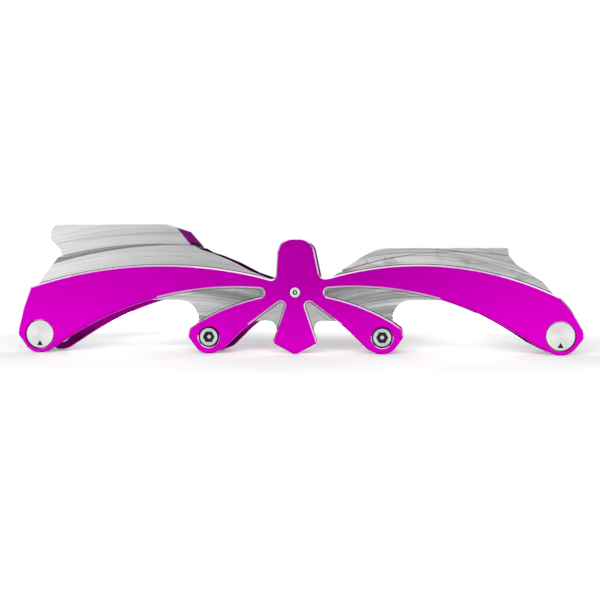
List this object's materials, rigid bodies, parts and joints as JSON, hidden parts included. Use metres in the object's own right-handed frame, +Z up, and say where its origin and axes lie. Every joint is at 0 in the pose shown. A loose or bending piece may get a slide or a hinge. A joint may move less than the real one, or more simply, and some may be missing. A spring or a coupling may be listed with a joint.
{
  "type": "inline skate frame",
  "caption": "Twin-wall inline skate frame with arched coloured side plates, a raised heel block and a lower toe block for the boot, eccentric outer axles and plain middle axles.",
  "frame": {"origin": "floor under the middle of the frame: centre of the bounding box's bottom, midway between the axles and between the walls", "axes": "+X towards the toe, +Y to the left side, +Z up"},
  "size_m": [0.2644, 0.038, 0.0608],
  "materials": {
    "anodised_plate": "magenta anodised, satin, with bright chamfers",
    "machined_wall": "machined bright outside, magenta anodised inside",
    "machined_block": "machined bright sides, magenta anodised top and ends",
    "hidden_screw": "zinc plated",
    "brace_tube": "turned",
    "turned_steel": "face turned, bright",
    "axle_steel": "turned, nickel plated"
  },
  "bodies": {
    "frame": {"right_side_plate": "anodised_plate", "left_side_plate": "anodised_plate", "right_wall": "machined_wall", "left_wall": "machined_wall", "rear_mount_block": "machined_block", "front_mount_block": "machined_block", "rear_block_screws": "hidden_screw", "front_block_screws": "hidden_screw", "hub_brace": "brace_tube", "right_hub_screw": "turned_steel", "left_hub_screw": "turned_steel"},
    "rear_collar": {"rear_rocker_collar": "turned_steel"},
    "rear_axle": {"rear_rocker_axle": "turned_steel"},
    "rear_clamp": {"rear_rocker_screw": "turned_steel"},
    "front_collar": {"front_rocker_collar": "turned_steel"},
    "front_axle": {"front_rocker_axle": "turned_steel"},
    "front_clamp": {"front_rocker_screw": "turned_steel"},
    "rear_middle": {"rear_mid_axle": "axle_steel"},
    "rear_middle_clamp": {"rear_mid_screw": "axle_steel"},
    "front_middle": {"front_mid_axle": "axle_steel"},
    "front_middle_clamp": {"front_mid_screw": "axle_steel"}
  },
  "joints": [
    {"name": "rear_rocker_turn", "type": "hinge", "parent": "frame", "child": "rear_collar", "pos_m": [-0.1215, 0, 0.0088], "axis": [0, 1, 0], "range_deg": [0, 180]},
    {"name": "rear_axle_draw", "type": "slide", "parent": "rear_collar", "child": "rear_axle", "axis": [0, -1, 0], "range_m": [0, 0.04]},
    {"name": "rear_clamp_draw", "type": "slide", "parent": "rear_collar", "child": "rear_clamp", "axis": [0, 1, 0], "range_m": [0, 0.02]},
    {"name": "front_rocker_turn", "type": "hinge", "parent": "frame", "child": "front_collar", "pos_m": [0.1215, 0, 0.0088], "axis": [0, 1, 0], "range_deg": [0, 180]},
    {"name": "front_axle_draw", "type": "slide", "parent": "front_collar", "child": "front_axle", "axis": [0, -1, 0], "range_m": [0, 0.04]},
    {"name": "front_clamp_draw", "type": "slide", "parent": "front_collar", "child": "front_clamp", "axis": [0, 1, 0], "range_m": [0, 0.02]},
    {"name": "rear_middle_draw", "type": "slide", "parent": "frame", "child": "rear_middle", "axis": [0, -1, 0], "range_m": [0, 0.04]},
    {"name": "rear_middle_clamp_draw", "type": "slide", "parent": "frame", "child": "rear_middle_clamp", "axis": [0, 1, 0], "range_m": [0, 0.018]},
    {"name": "front_middle_draw", "type": "slide", "parent": "frame", "child": "front_middle", "axis": [0, -1, 0], "range_m": [0, 0.04]},
    {"name": "front_middle_clamp_draw", "type": "slide", "parent": "frame", "child": "front_middle_clamp", "axis": [0, 1, 0], "range_m": [0, 0.018]}
  ]
}
